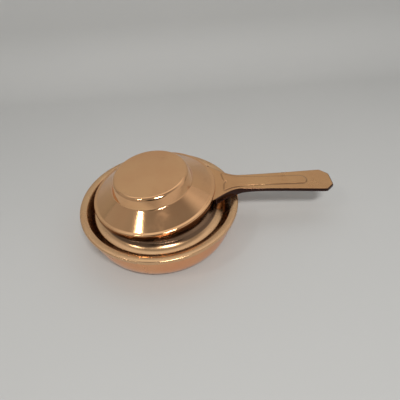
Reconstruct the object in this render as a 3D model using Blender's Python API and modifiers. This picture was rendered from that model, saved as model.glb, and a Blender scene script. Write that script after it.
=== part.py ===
"""Copper spirit burner with a handled snuffer: bowl, burner pan, fuel cup, wadding, gauze, snuffer.

The model stands on z = 0 with the bowl's axis on the Z axis and the handle pointing along +X.
Lengths are in metres and angles in radians. The snuffer is modelled in its own frame, with the
bottom edge of its lip at z = 0, and an empty places it where it lies: pushed back on the pan, with
its handle on the rim.
"""

import math

import bmesh
import bpy
from mathutils import Euler, Vector

MM = 0.001
GAP = 0.3 * MM  # left between pieces that touch
SEGMENTS = 48  # sides of a turned piece
CORNER_STEPS = 3  # straight pieces in a rounded corner
FILLET_SHARE = 0.99  # of a straight wall that the fillets at its two ends may take
MERGE_DISTANCE = 0.01 * MM

# Outer bowl
RIM_RADIUS = 65.0 * MM
RIM_HEIGHT = 30.0 * MM
BOWL_SHEET = 0.9 * MM
BASE_RADIUS = 44.0 * MM
RIM_OVERHANG = 4.5 * MM  # from the bowl's wall to the edge of the rim
BULGE_POWER = 2.9  # roundness of the side: 2 is an ellipse, more is squarer
BULGE_STEPS = 9
FLANGE_CORNER = 1.0 * MM

# Burner pan: rim, gutter, drum and neck pressed from one sheet
PAN_SHEET = 0.8 * MM
EDGE_DROP = 2.6 * MM
EDGE_CORNER = 1.2 * MM
BAND_WIDTH = 5.5 * MM
BAND_FALL = 0.4 * MM
STEP_WIDTH = 0.9 * MM
STEP_FALL = 0.9 * MM
GUTTER_DEPTH = 5.6 * MM
GUTTER_SLOPE = math.radians(43.0)
GUTTER_CORNER = 2.0 * MM
DRUM_RADIUS = 46.1 * MM
DRUM_FALL = 2.0 * MM  # of the drum's edge below the rim
DRUM_CORNER = 0.6 * MM
FLANK_SLOPE = math.radians(52.0)  # from the edge of the drum down to the gutter
FLANK_CORNER = 8.6 * MM
NECK_RADIUS = 24.5 * MM
NECK_FOOT = 4.5 * MM  # above the rim
NECK_HEIGHT = 4.0 * MM
NECK_CORNER = 1.2 * MM

# Fuel cup, wadding, gauze and its ring
CUP_SHEET = 0.6 * MM
CUP_CORNER = 3.0 * MM
CUP_ABOVE_FLOOR = 1.2 * MM
CUP_MARGIN = 11.8 * MM  # inside the drum's edge
WADDING_TAPER = 4.0 * MM  # of the wadding down to the cup's wall
GAUZE_THICKNESS = 0.6 * MM
RING_WIDTH = 1.8 * MM
RING_HEIGHT = 2.3 * MM
RING_BELOW_NECK = 0.9 * MM

# Snuffer cover
COVER_SHEET = 0.8 * MM
LIP_MARGIN = 7.7 * MM  # inside the mouth of the pan
LIP_HEIGHT = 4.4 * MM
LIP_CORNER = 1.2 * MM
LEDGE_WIDTH = 2.7 * MM
LEDGE_RISE = 0.2 * MM
CONE_WIDTH = 14.7 * MM
CONE_HEIGHT = 8.9 * MM
CONE_CORNER = 1.6 * MM
CROWN_HEIGHT = 9.0 * MM
CROWN_TAPER = 3.2 * MM
CROWN_CORNER = 3.2 * MM

# How the snuffer lies on the pan
COVER_SHIFT_X = -3.2 * MM
COVER_SHIFT_Y = 7.1 * MM
HANDLE_SIDE_UP = math.radians(4.8)
BACK_UP = math.radians(0.7)
SETTLE_STEPS = 72

# Handle: its stations are measured outwards from the lip of the cover
HANDLE_SHEET = 1.0 * MM
HANDLE_REACH = 98.0 * MM
HANDLE_DROOP = math.radians(8.6)
HANDLE_BELOW_LEDGE = 0.75 * MM
TONGUE_LENGTH = 5.2 * MM
TONGUE_INSET = 2.0 * MM  # of the tongue's sides from those of the fan
FAN_CLEARANCE = 1.2 * MM  # from the lip to the fan's turned-down sides
NOTCH_CLEARANCE = 0.4 * MM
NOTCH_BELOW_LEDGE = 0.1 * MM
NOTCH_DEPTH = 5.4 * MM  # of the opening, inwards from the lip at its sides
FAN_HALF_WIDTH = 22.4 * MM
FAN_LENGTH = 21.0 * MM
FAN_CURVE = 2.1
FAN_STEPS = 7
NECK_HALF_WIDTH = 9.2 * MM
NECK_CURVE = 1.3
TIP_HALF_WIDTH = 12.6 * MM
TIP_WIDEST = 84.0 * MM
TIP_CHAMFER = 7.0 * MM
END_HALF_WIDTH = 6.4 * MM
GRIP_STEPS = 10
ROOT_FLANGE = 5.6 * MM
TIP_FLANGE = 2.6 * MM
FLANGE_FADE = 9.0 * MM  # in which the edge beyond the rim loses most of its extra depth
PANEL_START = 8.0 * MM
PANEL_END = 75.0 * MM
PANEL_HALF_WIDTH = 4.8 * MM
PANEL_RISE = 0.8 * MM
PANEL_EDGE = 1.1 * MM

# Worked out from the sizes above
WALL_RADIUS = RIM_RADIUS - RIM_OVERHANG
BAND_INNER_RADIUS = RIM_RADIUS - BAND_WIDTH
MOUTH_RADIUS = BAND_INNER_RADIUS - STEP_WIDTH
STEP_HEIGHT = RIM_HEIGHT - BAND_FALL - STEP_FALL
GUTTER_HEIGHT = RIM_HEIGHT - GUTTER_DEPTH
DRUM_HEIGHT = RIM_HEIGHT - DRUM_FALL
GUTTER_INNER_RADIUS = DRUM_RADIUS + (DRUM_HEIGHT - GUTTER_HEIGHT) / math.tan(FLANK_SLOPE)
GUTTER_OUTER_RADIUS = MOUTH_RADIUS - (STEP_HEIGHT - GUTTER_HEIGHT) / math.tan(GUTTER_SLOPE)
FLANGE_HEIGHT = RIM_HEIGHT - BAND_FALL - PAN_SHEET - GAP
FLANGE_RADIUS = RIM_RADIUS - PAN_SHEET - GAP
NECK_FOOT_HEIGHT = RIM_HEIGHT + NECK_FOOT
NECK_TOP = NECK_FOOT_HEIGHT + NECK_HEIGHT
BORE_RADIUS = NECK_RADIUS - PAN_SHEET - GAP
RING_BOTTOM = NECK_TOP - RING_BELOW_NECK - RING_HEIGHT
GAUZE_BOTTOM = RING_BOTTOM - GAP - GAUZE_THICKNESS
DRUM_SLOPE = math.atan2(NECK_FOOT_HEIGHT - DRUM_HEIGHT, DRUM_RADIUS - NECK_RADIUS)
CUP_RADIUS = DRUM_RADIUS - CUP_MARGIN
CUP_BOTTOM = BOWL_SHEET + CUP_ABOVE_FLOOR
CUP_TOP = DRUM_HEIGHT + CUP_MARGIN * math.tan(DRUM_SLOPE) - PAN_SHEET / math.cos(DRUM_SLOPE) - GAP
LIP_RADIUS = MOUTH_RADIUS - LIP_MARGIN
LEDGE_RADIUS = LIP_RADIUS - LEDGE_WIDTH
LEDGE_HEIGHT = LIP_HEIGHT + LEDGE_RISE
CROWN_FOOT_RADIUS = LEDGE_RADIUS - CONE_WIDTH
CROWN_FOOT_HEIGHT = LEDGE_HEIGHT + CONE_HEIGHT
CROWN_TOP = CROWN_FOOT_HEIGHT + CROWN_HEIGHT


def clear_scene():
    """Remove every object and collection."""
    for obj in list(bpy.data.objects):
        bpy.data.objects.remove(obj, do_unlink=True)
    for collection in list(bpy.data.collections):
        bpy.data.collections.remove(collection)


def make_collection(name):
    collection = bpy.data.collections.new(name)
    bpy.context.scene.collection.children.link(collection)
    return collection


def make_material(name, colour, roughness, metallic):
    material = bpy.data.materials.new(name)
    material.use_nodes = True
    shader = material.node_tree.nodes["Principled BSDF"]
    shader.inputs["Base Color"].default_value = (*colour, 1.0)
    shader.inputs["Roughness"].default_value = roughness
    shader.inputs["Metallic"].default_value = metallic
    return material


def add_object(name, mesh, collection, material, parent=None):
    """Put a mesh in a collection as a smooth shaded object with its material."""
    obj = bpy.data.objects.new(name, mesh)
    collection.objects.link(obj)
    mesh.materials.append(material)
    mesh.shade_smooth()
    obj.parent = parent
    return obj


def fillet_reach(corners, index):
    """Length that the fillet of a corner takes from each of the two walls that meet there."""
    radius, height, rounding = corners[index]
    if rounding == 0.0:
        return 0.0
    here = Vector((radius, height))
    before = Vector(corners[index - 1][:2]) - here
    after = Vector(corners[index + 1][:2]) - here
    return rounding / math.tan(before.angle(after) / 2)


def rounded_path(corners):
    """Points of a path in the (radius, height) plane from corners (radius, height, rounding).

    A fillet is no larger than its walls have room for, beside the fillets at their other ends.
    """
    reaches = [fillet_reach(corners, index) for index in range(len(corners))]
    points = []
    for index, (radius, height, rounding) in enumerate(corners):
        here = Vector((radius, height))
        if rounding == 0.0:
            points.append(here)
            continue
        before = Vector(corners[index - 1][:2]) - here
        after = Vector(corners[index + 1][:2]) - here
        for wall, far_reach in ((before, reaches[index - 1]), (after, reaches[index + 1])):
            room = FILLET_SHARE * wall.length / (reaches[index] + far_reach)
            rounding = min(rounding, corners[index][2] * room)
        before.normalize()
        after.normalize()
        half_angle = before.angle(after) / 2
        centre = here + (before + after).normalized() * rounding / math.sin(half_angle)
        start = here + before * rounding / math.tan(half_angle) - centre
        end = here + after * rounding / math.tan(half_angle) - centre
        sweep = start.angle(end)
        for step in range(CORNER_STEPS + 1):
            turn = step / CORNER_STEPS
            blend = start * math.sin((1 - turn) * sweep) + end * math.sin(turn * sweep)
            points.append(centre + blend / math.sin(sweep))
    return points


def turned(name, profile, collection, material, closed=False, sheet=0.0, parent=None):
    """Turn a profile at +X about Z. An open profile is the outer face of a sheet of that thickness."""
    mesh = bpy.data.meshes.new(name)
    vertices = [(point[0], 0.0, point[1]) for point in profile]
    edges = [(i, i + 1) for i in range(len(vertices) - 1)]
    if closed:
        edges.append((len(vertices) - 1, 0))
    mesh.from_pydata(vertices, edges, [])
    obj = add_object(name, mesh, collection, material, parent)
    screw = obj.modifiers.new("turn", "SCREW")
    screw.axis = "Z"
    screw.angle = math.tau
    screw.steps = screw.render_steps = SEGMENTS
    screw.use_merge_vertices = True
    screw.merge_threshold = MERGE_DISTANCE
    screw.use_smooth_shade = True
    if sheet > 0.0:
        add_sheet(obj, sheet)
    return obj


def add_sheet(obj, thickness):
    """Give an open surface its thickness, inwards from the modelled face."""
    solidify = obj.modifiers.new("sheet", "SOLIDIFY")
    solidify.thickness = thickness
    solidify.offset = -1.0
    solidify.use_even_offset = True


def bowl_profile():
    """Outside of the bowl: under the flange, down the bulged side and across the flat base."""
    underside = FLANGE_HEIGHT - BOWL_SHEET
    top_of_side = underside - FLANGE_CORNER
    corners = [
        (FLANGE_RADIUS, underside, 0.0),
        (WALL_RADIUS, underside, FLANGE_CORNER),
        (WALL_RADIUS, top_of_side - FLANGE_CORNER, 0.0),
    ]
    points = rounded_path(corners)
    points.pop()
    for step in range(1, BULGE_STEPS):
        angle = math.pi / 2 * (1 - step / BULGE_STEPS)
        out = (WALL_RADIUS - BASE_RADIUS) * math.sin(angle) ** (2 / BULGE_POWER)
        down = top_of_side * math.cos(angle) ** (2 / BULGE_POWER)
        points.append(Vector((BASE_RADIUS + out, top_of_side - down)))
    points += [Vector((BASE_RADIUS, 0.0)), Vector((0.0, 0.0))]
    return points


def pan_profile():
    """Upper face of the pan from the top of the neck out to the edge of the rim."""
    return rounded_path([
        (NECK_RADIUS, NECK_TOP, 0.0),
        (NECK_RADIUS, NECK_FOOT_HEIGHT, NECK_CORNER),
        (DRUM_RADIUS, DRUM_HEIGHT, DRUM_CORNER),
        (GUTTER_INNER_RADIUS, GUTTER_HEIGHT, FLANK_CORNER),
        (GUTTER_OUTER_RADIUS, GUTTER_HEIGHT, GUTTER_CORNER),
        (MOUTH_RADIUS, STEP_HEIGHT, 0.0),
        (BAND_INNER_RADIUS, RIM_HEIGHT - BAND_FALL, 0.0),
        (RIM_RADIUS, RIM_HEIGHT, EDGE_CORNER),
        (RIM_RADIUS, RIM_HEIGHT - EDGE_DROP, 0.0),
    ])


def cup_profile():
    """Outside of the fuel cup from its mouth down to the middle of its bottom."""
    return rounded_path([
        (CUP_RADIUS, CUP_TOP, 0.0),
        (CUP_RADIUS, CUP_BOTTOM, CUP_CORNER),
        (0.0, CUP_BOTTOM, 0.0),
    ])


def wadding_profile():
    """Outside of the wadding: a plug in the neck, a taper under the drum and the fill of the cup."""
    neck_fill = BORE_RADIUS - GAP
    cup_fill = CUP_RADIUS - CUP_SHEET - GAP
    return rounded_path([
        (0.0, GAUZE_BOTTOM - GAP, 0.0),
        (neck_fill, GAUZE_BOTTOM - GAP, 0.0),
        (neck_fill, CUP_TOP, 0.0),
        (cup_fill, CUP_TOP - WADDING_TAPER, 0.0),
        (cup_fill, CUP_BOTTOM + CUP_SHEET + GAP, CUP_CORNER),
        (0.0, CUP_BOTTOM + CUP_SHEET + GAP, 0.0),
    ])


def disc_profile(radius, bottom, top):
    return [Vector((0.0, top)), Vector((radius, top)), Vector((radius, bottom)), Vector((0.0, bottom))]


def ring_profile():
    """Section of the ring that holds the gauze down in the neck."""
    inner = BORE_RADIUS - RING_WIDTH
    top = RING_BOTTOM + RING_HEIGHT
    return [
        Vector((inner, top)),
        Vector((BORE_RADIUS, top)),
        Vector((BORE_RADIUS, RING_BOTTOM)),
        Vector((inner, RING_BOTTOM)),
    ]


def cover_profile():
    """Outside of the snuffer cover from the middle of its crown out and down to its lip."""
    return rounded_path([
        (0.0, CROWN_TOP, 0.0),
        (CROWN_FOOT_RADIUS - CROWN_TAPER, CROWN_TOP, CROWN_CORNER),
        (CROWN_FOOT_RADIUS, CROWN_FOOT_HEIGHT, CONE_CORNER),
        (LEDGE_RADIUS, LEDGE_HEIGHT, 0.0),
        (LIP_RADIUS, LIP_HEIGHT, LIP_CORNER),
        (LIP_RADIUS, 0.0, 0.0),
    ])


def height_on(profile, radius):
    """Greatest height of a profile at a radius, or None outside it."""
    heights = []
    for start, end in zip(profile, profile[1:]):
        low, high = sorted((start[0], end[0]))
        if low <= radius <= high:
            share = (radius - start[0]) / (end[0] - start[0]) if high > low else 0.0
            heights.append(start[1] + share * (end[1] - start[1]))
    return max(heights, default=None)


def settled_height():
    """Height of the snuffer's origin at which it comes down on the pan, with the gap left."""
    lean = Euler((BACK_UP, -HANDLE_SIDE_UP, 0.0)).to_matrix()
    pan = pan_profile()
    cover = cover_profile()
    height = 0.0
    for step in range(SETTLE_STEPS):
        angle = math.tau * step / SETTLE_STEPS
        for radius in (LIP_RADIUS, LIP_RADIUS - COVER_SHEET):
            edge = lean @ Vector((radius * math.cos(angle), radius * math.sin(angle), 0.0))
            reach = math.hypot(edge.x + COVER_SHIFT_X, edge.y + COVER_SHIFT_Y)
            below = height_on(pan, reach)
            if below is not None:
                height = max(height, below + GAP - edge.z)
        for point in pan:
            place = Vector((point[0] * math.cos(angle), point[0] * math.sin(angle), point[1]))
            across = lean.inverted() @ (place - Vector((COVER_SHIFT_X, COVER_SHIFT_Y, 0.0)))
            over = height_on(cover, math.hypot(across.x, across.y))
            if over is not None and math.hypot(across.x, across.y) < LIP_RADIUS - COVER_SHEET:
                height = max(height, across.z + 2 * COVER_SHEET + GAP - over)
    return height


def handle_top(x):
    """Height of the handle's plate over the lip's bottom edge, at a distance from the cover's axis."""
    under_ledge = LIP_HEIGHT - COVER_SHEET - HANDLE_BELOW_LEDGE
    return under_ledge - math.tan(HANDLE_DROOP) * (x - LEDGE_RADIUS)


def handle_half_width(station):
    """Half width of the handle: a fan at the cover, then a waist that widens to the tip."""
    along = max(0.0, (station - FAN_LENGTH) / (TIP_WIDEST - FAN_LENGTH))
    waist = NECK_HALF_WIDTH + (TIP_HALF_WIDTH - NECK_HALF_WIDTH) * along ** NECK_CURVE
    flare = max(0.0, 1.0 - max(station, 0.0) / FAN_LENGTH) ** FAN_CURVE
    return waist + (FAN_HALF_WIDTH - NECK_HALF_WIDTH) * flare


def flange_depth(station, settle):
    """Depth of the turned-down edge: it stands on the rim where it crosses it."""
    seat = RIM_RADIUS - RIM_OVERHANG / 2 - COVER_SHIFT_X - LIP_RADIUS
    seat_x = LIP_RADIUS + seat
    lean = math.tan(HANDLE_SIDE_UP)
    on_rim = settle + lean * seat_x + handle_top(seat_x) - RIM_HEIGHT - 2 * GAP
    if station < seat:
        return ROOT_FLANGE + (on_rim - ROOT_FLANGE) * max(station, 0.0) / seat
    return TIP_FLANGE + (on_rim - TIP_FLANGE) * math.exp((seat - station) / FLANGE_FADE)


def handle_stations():
    """Distances from the lip at which the handle's cross section is drawn."""
    fan = [FAN_LENGTH * step / FAN_STEPS for step in range(1, FAN_STEPS)]
    grip = [
        FAN_LENGTH + (TIP_WIDEST + TIP_CHAMFER - FAN_LENGTH) * step / GRIP_STEPS
        for step in range(GRIP_STEPS + 1)
    ]
    panel = [PANEL_START, PANEL_START + PANEL_EDGE, PANEL_END - PANEL_EDGE, PANEL_END]
    return [FAN_CLEARANCE] + sorted(set(fan + grip + panel)) + [HANDLE_REACH]


def panel_rise(station, y):
    """Height of the pressed panel: flat on top, with a short slope at its edge."""
    inside = min(station - PANEL_START, PANEL_END - station, PANEL_HALF_WIDTH - abs(y))
    return PANEL_RISE * min(1.0, max(0.0, inside / PANEL_EDGE))


def handle_row(station, half_width):
    """One row of the plate: across from one side to the other, curved with the lip near the cover."""
    radius = LIP_RADIUS + station
    curve = max(0.0, 1.0 - max(station, 0.0) / FAN_LENGTH)
    inner = PANEL_HALF_WIDTH - PANEL_EDGE
    row = []
    for y in (-half_width, -PANEL_HALF_WIDTH, -inner, 0.0, inner, PANEL_HALF_WIDTH, half_width):
        sag = radius - math.sqrt(radius * radius - y * y)
        x = radius - sag * curve
        row.append(Vector((x, y, handle_top(x) + panel_rise(station, y))))
    return row


def add_handle(collection, material, parent, settle):
    """Pressed handle: plate with a raised panel, turned-down sides and end, tongue under the cover."""
    mesh = bpy.data.meshes.new("handle")
    build = bmesh.new()
    tongue_half_width = FAN_HALF_WIDTH - TONGUE_INSET
    rows = [
        handle_row(-TONGUE_LENGTH, tongue_half_width),
        handle_row(FAN_CLEARANCE / 2, tongue_half_width),
    ]
    first_flanged = len(rows)
    stations = handle_stations()
    for station in stations:
        half_width = handle_half_width(station)
        if station > TIP_WIDEST + TIP_CHAMFER:
            half_width = END_HALF_WIDTH
        rows.append(handle_row(station, half_width))
    plate = [[build.verts.new(point) for point in row] for row in rows]
    for near, far in zip(plate, plate[1:]):
        for left in range(len(near) - 1):
            build.faces.new((near[left], far[left], far[left + 1], near[left + 1]))

    edge = [row[0] for row in plate[first_flanged:]]
    edge += plate[-1][1:]
    edge += [row[-1] for row in reversed(plate[first_flanged:-1])]
    depths = [flange_depth(station, settle) for station in stations]
    drops = depths + [depths[-1]] * (len(plate[-1]) - 2) + depths[::-1]
    hem = [build.verts.new(vert.co - Vector((0.0, 0.0, drop))) for vert, drop in zip(edge, drops)]
    for index in range(len(edge) - 1):
        build.faces.new((edge[index], hem[index], hem[index + 1], edge[index + 1]))
    build.to_mesh(mesh)
    build.free()

    handle = add_object("handle", mesh, collection, material, parent)
    add_sheet(handle, HANDLE_SHEET)
    return handle


def notch_cutter(collection, parent):
    """Box that opens the cover's lip for the tongue of the handle."""
    half_width = FAN_HALF_WIDTH - TONGUE_INSET + NOTCH_CLEARANCE
    inner = math.sqrt(LIP_RADIUS ** 2 - half_width ** 2) - NOTCH_DEPTH
    top = LIP_HEIGHT - COVER_SHEET - NOTCH_BELOW_LEDGE
    low = -LIP_HEIGHT
    mesh = bpy.data.meshes.new("lip_notch")
    build = bmesh.new()
    bmesh.ops.create_cube(build, size=1.0)
    size = Vector((LIP_RADIUS + LEDGE_WIDTH - inner, 2 * half_width, top - low))
    centre = Vector((inner + size.x / 2, 0.0, low + size.z / 2))
    for vert in build.verts:
        vert.co = Vector(a * b for a, b in zip(vert.co, size)) + centre
    build.to_mesh(mesh)
    build.free()
    cutter = bpy.data.objects.new("lip_notch", mesh)
    collection.objects.link(cutter)
    cutter.parent = parent
    cutter.hide_render = True
    cutter.display_type = "WIRE"
    return cutter


def add_snuffer(parts, cutters, copper, handle_copper):
    """Cover and handle on the empty that lays them on the pan."""
    settle = settled_height()
    rest = bpy.data.objects.new("snuffer_rest", None)
    parts.objects.link(rest)
    rest.location = (COVER_SHIFT_X, COVER_SHIFT_Y, settle)
    rest.rotation_euler = (BACK_UP, -HANDLE_SIDE_UP, 0.0)
    cover = turned("snuffer_cover", cover_profile(), parts, copper, sheet=COVER_SHEET, parent=rest)
    notch = cover.modifiers.new("notch", "BOOLEAN")
    notch.object = notch_cutter(cutters, rest)
    notch.operation = "DIFFERENCE"
    notch.solver = "EXACT"
    add_handle(parts, handle_copper, rest, settle)


def main():
    clear_scene()
    parts = make_collection("spirit_burner")
    cutters = make_collection("cutters")
    pink_copper = make_material("bowl_copper", (0.62, 0.27, 0.14), 0.22, 1.0)
    gold_copper = make_material("pan_copper", (0.66, 0.34, 0.13), 0.18, 1.0)
    cover_copper = make_material("cover_copper", (0.61, 0.30, 0.14), 0.16, 1.0)
    handle_copper = make_material("handle_copper", (0.58, 0.27, 0.13), 0.26, 1.0)
    tin = make_material("tinned_steel", (0.52, 0.51, 0.48), 0.38, 1.0)
    wire = make_material("gauze_wire", (0.40, 0.39, 0.36), 0.42, 1.0)
    brass = make_material("ring_brass", (0.70, 0.47, 0.16), 0.30, 1.0)
    cotton = make_material("white_wadding", (0.78, 0.75, 0.68), 0.95, 0.0)

    turned("bowl", bowl_profile(), parts, pink_copper, sheet=BOWL_SHEET)
    turned("burner_pan", pan_profile(), parts, gold_copper, sheet=PAN_SHEET)
    turned("fuel_cup", cup_profile(), parts, tin, sheet=CUP_SHEET)
    turned("wadding", wadding_profile(), parts, cotton)
    gauze_top = GAUZE_BOTTOM + GAUZE_THICKNESS
    turned("gauze", disc_profile(BORE_RADIUS, GAUZE_BOTTOM, gauze_top), parts, wire)
    turned("gauze_ring", ring_profile(), parts, brass, closed=True)
    add_snuffer(parts, cutters, cover_copper, handle_copper)


main()
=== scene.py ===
"""Looks of the copper spirit burner: fine turned and pressed pieces, their finishes and the studio."""

import logging
import math
from dataclasses import dataclass, field
from enum import Enum
from typing import Optional, Sequence, Union

import bmesh
import bpy
import numpy as np
from mathutils import Euler, Matrix, Vector


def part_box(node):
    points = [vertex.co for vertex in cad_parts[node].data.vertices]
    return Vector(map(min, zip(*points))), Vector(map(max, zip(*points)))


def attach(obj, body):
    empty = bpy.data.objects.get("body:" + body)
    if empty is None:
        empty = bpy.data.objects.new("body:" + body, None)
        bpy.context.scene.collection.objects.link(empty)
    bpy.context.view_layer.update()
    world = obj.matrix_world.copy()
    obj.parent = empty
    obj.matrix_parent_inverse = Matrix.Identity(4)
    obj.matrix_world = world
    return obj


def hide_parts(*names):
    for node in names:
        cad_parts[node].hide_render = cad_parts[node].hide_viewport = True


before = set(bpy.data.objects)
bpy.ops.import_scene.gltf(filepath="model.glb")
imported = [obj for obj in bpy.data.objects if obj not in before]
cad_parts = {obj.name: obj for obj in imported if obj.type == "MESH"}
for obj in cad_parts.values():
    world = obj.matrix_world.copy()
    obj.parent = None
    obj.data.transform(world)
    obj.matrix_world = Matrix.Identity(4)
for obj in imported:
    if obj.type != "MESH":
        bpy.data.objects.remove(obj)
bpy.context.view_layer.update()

LOG = logging.getLogger("spirit_burner")
MM = 0.001
TURNED_SEGMENTS = 256
CORNER_STEPS = 8
EDGE_STEPS = 5  # straight pieces in the round free edge of a sheet
EDGE_BULGE = 0.8  # of a free edge, as a share of half the sheet
ON_AXIS = 1e-9  # a radius below this lies on the axis
MERGE_DISTANCE = 1e-6
SHARP_ANGLE = math.radians(50.0)
WADDING_SEGMENTS = 160
DENTS = 220
DENT_WIDTHS = (1.2, 4.0)  # in millimetres
DENT_AMOUNTS = (0.2, 1.0)
DENT_FULL = 97  # percentile of the summed dents that counts as full depth
BEND_RINGS = 6  # round the bend at the edge of the handle
WALL_RINGS = 4  # down the wall below it
SMOOTHING = 9  # edge points over which the outward direction is averaged
DARK_FROM = 3.0  # ring of the bend from which the edge is fully darkened
WIRE_POINTS = 4.0  # of a wire from crossing to crossing
WIRE_SIDES = 6
WIRE_LIFT = 1.05  # of a wire at a crossing, in wire radii

Point = tuple[float, float]
Corner = tuple[float, float, float]
Colour = tuple[float, float, float]


# ---------------------------------------------------------------- shader maths


class Socket:
    """An output socket whose arithmetic adds Math nodes to its tree."""

    def __init__(self, graph: "Graph", socket: bpy.types.NodeSocket) -> None:
        """Wrap one socket.

        Args:
            graph: the material's graph, which gets the nodes.
            socket: the output socket.
        """
        self.graph = graph
        self.socket = socket

    def _math(self, operation: str, *values: "Value") -> "Socket":
        """Return the output of one Math node on these values."""
        inputs = dict(enumerate(values))
        return self.graph.node("ShaderNodeMath", {"operation": operation}, inputs)

    def __add__(self, other: "Value") -> "Socket":
        """Return self + other."""
        return self._math("ADD", self, other)

    def __radd__(self, other: float) -> "Socket":
        """Return other + self."""
        return self._math("ADD", other, self)

    def __sub__(self, other: "Value") -> "Socket":
        """Return self - other."""
        return self._math("SUBTRACT", self, other)

    def __mul__(self, other: "Value") -> "Socket":
        """Return self * other."""
        return self._math("MULTIPLY", self, other)

    def __pow__(self, other: "Value") -> "Socket":
        """Return self to the power of other."""
        return self._math("POWER", self, other)

    def clamped(self) -> "Socket":
        """Return self held between 0 and 1."""
        return self._math("MINIMUM", self._math("MAXIMUM", self, 0.0), 1.0)

    def ramp(self, low: float, high: float) -> "Socket":
        """Return 0 below low, 1 above high and a smooth step between."""
        settings = {"interpolation_type": "SMOOTHSTEP"}
        inputs = {"Value": self, "From Min": low, "From Max": high}
        return self.graph.node("ShaderNodeMapRange", settings, inputs)


Value = Union[Socket, float]


class Graph:
    """The node tree of one material or world, with its shader and output."""

    def __init__(self, name: str, world: bool = False) -> None:
        """Start an empty material or world.

        Args:
            name: its name.
            world: whether it is a world.
        """
        store = bpy.data.worlds if world else bpy.data.materials
        self.material = store.new(name)
        self.material.use_nodes = True
        self.tree = self.material.node_tree
        self.tree.nodes.clear()
        kinds = ("World", "Background") if world else ("Material", "BsdfPrincipled")
        self.output = self.tree.nodes.new(f"ShaderNodeOutput{kinds[0]}")
        self.shader = self.tree.nodes.new(f"ShaderNode{kinds[1]}")
        self.tree.links.new(self.shader.outputs[0], self.output.inputs["Surface"])

    def node(
        self,
        kind: str,
        settings: Optional[dict] = None,
        inputs: Optional[dict] = None,
        output: Union[str, int] = 0,
    ) -> Socket:
        """Add a node.

        Args:
            kind: the node's type.
            settings: properties that are set before the sockets.
            inputs: values or links by socket name or number.
            output: the name or number of the output that is wanted.

        Returns:
            The wrapped output.
        """
        node = self.tree.nodes.new(kind)
        for key, value in (settings or {}).items():
            setattr(node, key, value)
        for key, value in (inputs or {}).items():
            self.feed(node.inputs[key], value)
        return Socket(self, node.outputs[output])

    def feed(self, target: bpy.types.NodeSocket, value: object) -> None:
        """Link a wrapped socket to an input, or set the input's own value."""
        if isinstance(value, Socket):
            self.tree.links.new(value.socket, target)
        else:
            target.default_value = value

    def set(self, **values: object) -> None:
        """Feed the shader's inputs, named with underscores for spaces."""
        for key, value in values.items():
            self.feed(self.shader.inputs[key.replace("_", " ")], value)

    def place(self, matrix: Optional[Matrix] = None) -> Socket:
        """Return Object coordinates, or the same in the frame that matrix gives.

        Args:
            matrix: from the piece's own frame to the world.

        Returns:
            The coordinates.
        """
        here = self.node("ShaderNodeTexCoord", output="Object")
        if matrix is None:
            return here
        inverse = matrix.inverted()
        turn = inverse.to_euler()
        inputs = {"Vector": here, "Location": inverse.to_translation(), "Rotation": turn}
        return self.node("ShaderNodeMapping", None, inputs)

    def split(self, vector: Socket) -> tuple[Socket, Socket, Socket]:
        """Return the three numbers of a vector."""
        node = self.tree.nodes.new("ShaderNodeSeparateXYZ")
        self.tree.links.new(vector.socket, node.inputs[0])
        return tuple(Socket(self, output) for output in node.outputs)

    def join(self, x: Value, y: Value, z: Value) -> Socket:
        """Return a vector made of three numbers."""
        return self.node("ShaderNodeCombineXYZ", None, {"X": x, "Y": y, "Z": z})

    def noise(self, place: Socket, scale: float, detail: float = 3.0, rough: float = 0.5) -> Socket:
        """Return a noise between 0 and 1 over the coordinates."""
        inputs = {"Vector": place, "Scale": scale, "Detail": detail, "Roughness": rough}
        return self.node("ShaderNodeTexNoise", None, inputs, "Fac")

    def mix(self, mask: Value, first: object, second: object) -> Socket:
        """Return a blend of two colours.

        Args:
            mask: 0 for the first colour, 1 for the second.
            first: a colour or a socket.
            second: a colour or a socket.

        Returns:
            The blended colour.
        """
        node = self.tree.nodes.new("ShaderNodeMix")
        node.data_type = "RGBA"
        colours = [item for item in node.inputs if item.type == "RGBA"]
        self.feed(node.inputs[0], mask)
        for target, value in zip(colours, (first, second)):
            self.feed(target, value if isinstance(value, Socket) else (*value, 1.0))
        return Socket(self, [item for item in node.outputs if item.type == "RGBA"][0])

    def bump(self, height: Socket, distance: float, strength: float = 1.0) -> Socket:
        """Return a bumped normal for a height between 0 and 1 that stands for distance metres."""
        inputs = {"Height": height, "Distance": distance, "Strength": strength}
        return self.node("ShaderNodeBump", None, inputs, "Normal")


# ---------------------------------------------------------------- finishes


class Grain(Enum):
    """Which way the polishing marks of a metal run."""

    ROUND = "round"
    LONG = "long"


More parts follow.
